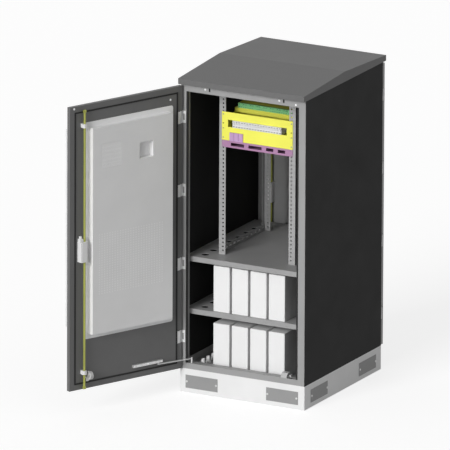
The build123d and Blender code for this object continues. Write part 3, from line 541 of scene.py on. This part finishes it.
def climate_grille():
    """A guard over the outlet: upright bars, with level bars close behind them."""
    level = (UNIT_FACE - UNIT_WALL, UNIT_FACE - GRILLE_SINK)
    behind = (level[0] - LEVEL_BAR_BEHIND[0], level[0] - LEVEL_BAR_BEHIND[1])
    guard = bmesh.new()
    step = (GRILLE_R[1] - GRILLE_R[0]) / GRILLE_BARS
    for n in range(GRILLE_BARS):
        r = GRILLE_R[0] + (n + 0.5) * step
        add_block(guard, (r - GRILLE_BAR / 2, r + GRILLE_BAR / 2), level, GRILLE_Z)
        z = GRILLE_Z[0] + (n + 0.5) * step
        if z + GRILLE_BAR < GRILLE_Z[1]:
            add_block(guard, GRILLE_R, behind, (z - GRILLE_BAR / 2, z + GRILLE_BAR / 2))
    piece("outlet_guard", guard, "filter_white", "front_door", FRONT)


# Small fasteners and trim. A screw or rivet is given as its radius and height
HEAD_Y = -500.0
HEAD_SCREW_PLACES = ((-262.0, 1921.0), (243.0, 1921.0), (356.0, 1908.0))
HEAD_SCREW = (7.0, 3.5)
# Each catch slot is painted shade: a thin dark plate on the face of the head
CATCH_X = (-232.0, 273.0)
CATCH_HALF_W = 5.0
CATCH_Y = (-500.6, -499.5)
CATCH_Z = (1910.0, 1932.0)
DOOR_SCREW_PLACES = ((87.0, 1856.0), (809.0, 1917.0))
DOOR_SCREW = (6.5, 3.0)
STAY_RAIL_T = 16.0
RIVET_R = (160.5, 261.0, 360.6)
RIVET_Z = 230.0
RIVET = (6.0, 2.5)
WHEEL_R = 710.0
WHEEL_Z = 240.0
FOOT_T = 4.0
FOOT_R = (WHEEL_R - 12.0, WHEEL_R + 8.0)
FOOT_Z = (WHEEL_Z - 42.0, WHEEL_Z - 20.0)
FOOT_EDGE = 2.0
FOOT_SCREW = (6.0, 3.0)
FOOT_SCREW_BELOW_WHEEL = 32.0
HOOD_R = (756.0, 783.0)
HOOD_DEPTH = 26.0
HOOD_Z = (1085.5, 1104.0)
HOOD_EDGE = 3.0
KNOB_R = (762.0, 777.0)
KNOB_DEPTH = (4.0, 20.0)
KNOB_Z = (1104.0, 1120.0)


def head_fasteners():
    """Three bright screws on the head of the frame, two of them beside a catch slot drawn as a thin dark
    plate of painted shade.
    """
    bright = bmesh.new()
    dark = bmesh.new()
    for x, z in HEAD_SCREW_PLACES:
        add_screw(bright, (x, HEAD_Y, z), (0, -1, 0), *HEAD_SCREW)
    # Painted shade: a thin dark plate stands for the shade inside each catch slot
    for x in CATCH_X:
        add_block(dark, (x - CATCH_HALF_W, x + CATCH_HALF_W), CATCH_Y, CATCH_Z)
    piece("head_screws", bright, "bright_screw", "cabinet")
    piece("catch_slot_shade", dark, "painted_slot_shade", "cabinet")


def door_fasteners():
    """Two screws near the door's top corners, the stay rail's rivets, the roller bracket's screw."""
    bright = bmesh.new()
    inward = (0, 1, 0)
    for r, z in DOOR_SCREW_PLACES:
        add_screw(bright, (r, DOOR_IN, z), inward, *DOOR_SCREW)
    for r in RIVET_R:
        add_screw(bright, (r, DOOR_IN + STAY_RAIL_T, RIVET_Z), inward, *RIVET)
    foot_middle = sum(FOOT_R) / 2
    foot_screw_z = WHEEL_Z - FOOT_SCREW_BELOW_WHEEL
    add_screw(bright, (foot_middle, DOOR_IN + FOOT_T, foot_screw_z), inward, *FOOT_SCREW)
    piece("door_screws", bright, "bright_screw", "front_door", FRONT)


def roller_spur():
    """The foot of the roller bracket runs down to a screw below the wheel."""
    spur = bmesh.new()
    add_block(spur, FOOT_R, (DOOR_IN, DOOR_IN + FOOT_T), FOOT_Z)
    piece("roller_bracket_foot", spur, "zinc", "front_door", FRONT, bevel=FOOT_EDGE)


def lock_trim():
    """A cover with a small knob above the lock case of each door."""
    for body, place in (("front_door", FRONT), ("rear_door", REAR)):
        hood = bmesh.new()
        add_block(hood, HOOD_R, (DOOR_IN, DOOR_IN + HOOD_DEPTH), HOOD_Z)
        add_block(hood, KNOB_R, (DOOR_IN + KNOB_DEPTH[0], DOOR_IN + KNOB_DEPTH[1]), KNOB_Z)
        piece(body + "_lock_hood", hood, "gland_white", body, place, bevel=HOOD_EDGE)


# Power shelf
TERMINAL_X0 = -202.0
TERMINAL_COUNT = 24
TERMINAL_PITCH = 15.3
# Wire entries and clamp screws are drawn as thin dark green plates of painted shade
ENTRY_HALF_W = 3.5
ENTRY_Y = (-190.5, -189.6)
ENTRY_Z = (1744.5, 1749.0)
CLAMP_HALF_W = 3.0
CLAMP_Y = (-187.5, -186.6)
CLAMP_Z = (1760.0, 1765.0)
BREAKER_COUNT = 18
BREAKER_PITCH = 18.5
MARK_HALF_W = 5.5
MARK_Y = (-328.2, -327.3)
MARK_Z = ((1656.5, 1663.5), (1686.0, 1692.0))


def terminal_details():
    """Painted shade: a thin dark green plate in each green terminal's wire entry, and another at the
    clamp screw on two of every three.
    """
    dark = bmesh.new()
    for n in range(TERMINAL_COUNT):
        x = TERMINAL_X0 + (n + 0.5) * TERMINAL_PITCH
        add_block(dark, (x - ENTRY_HALF_W, x + ENTRY_HALF_W), ENTRY_Y, ENTRY_Z)
        if n % 3 != 1:
            add_block(dark, (x - CLAMP_HALF_W, x + CLAMP_HALF_W), CLAMP_Y, CLAMP_Z)
    piece("terminal_entry_shade", dark, "terminal_painted_shade", "cabinet")


def breaker_details():
    """A grey field and an indicator on each breaker's nose."""
    marks = bmesh.new()
    for n in range(BREAKER_COUNT):
        x = (n - (BREAKER_COUNT - 1) / 2) * BREAKER_PITCH
        for z in MARK_Z:
            add_block(marks, (x - MARK_HALF_W, x + MARK_HALF_W), MARK_Y, z)
    piece("breaker_fields", marks, "breaker_mark", "cabinet")


climate_unit()
climate_grille()
head_fasteners()
door_fasteners()
roller_spur()
lock_trim()
terminal_details()
breaker_details()
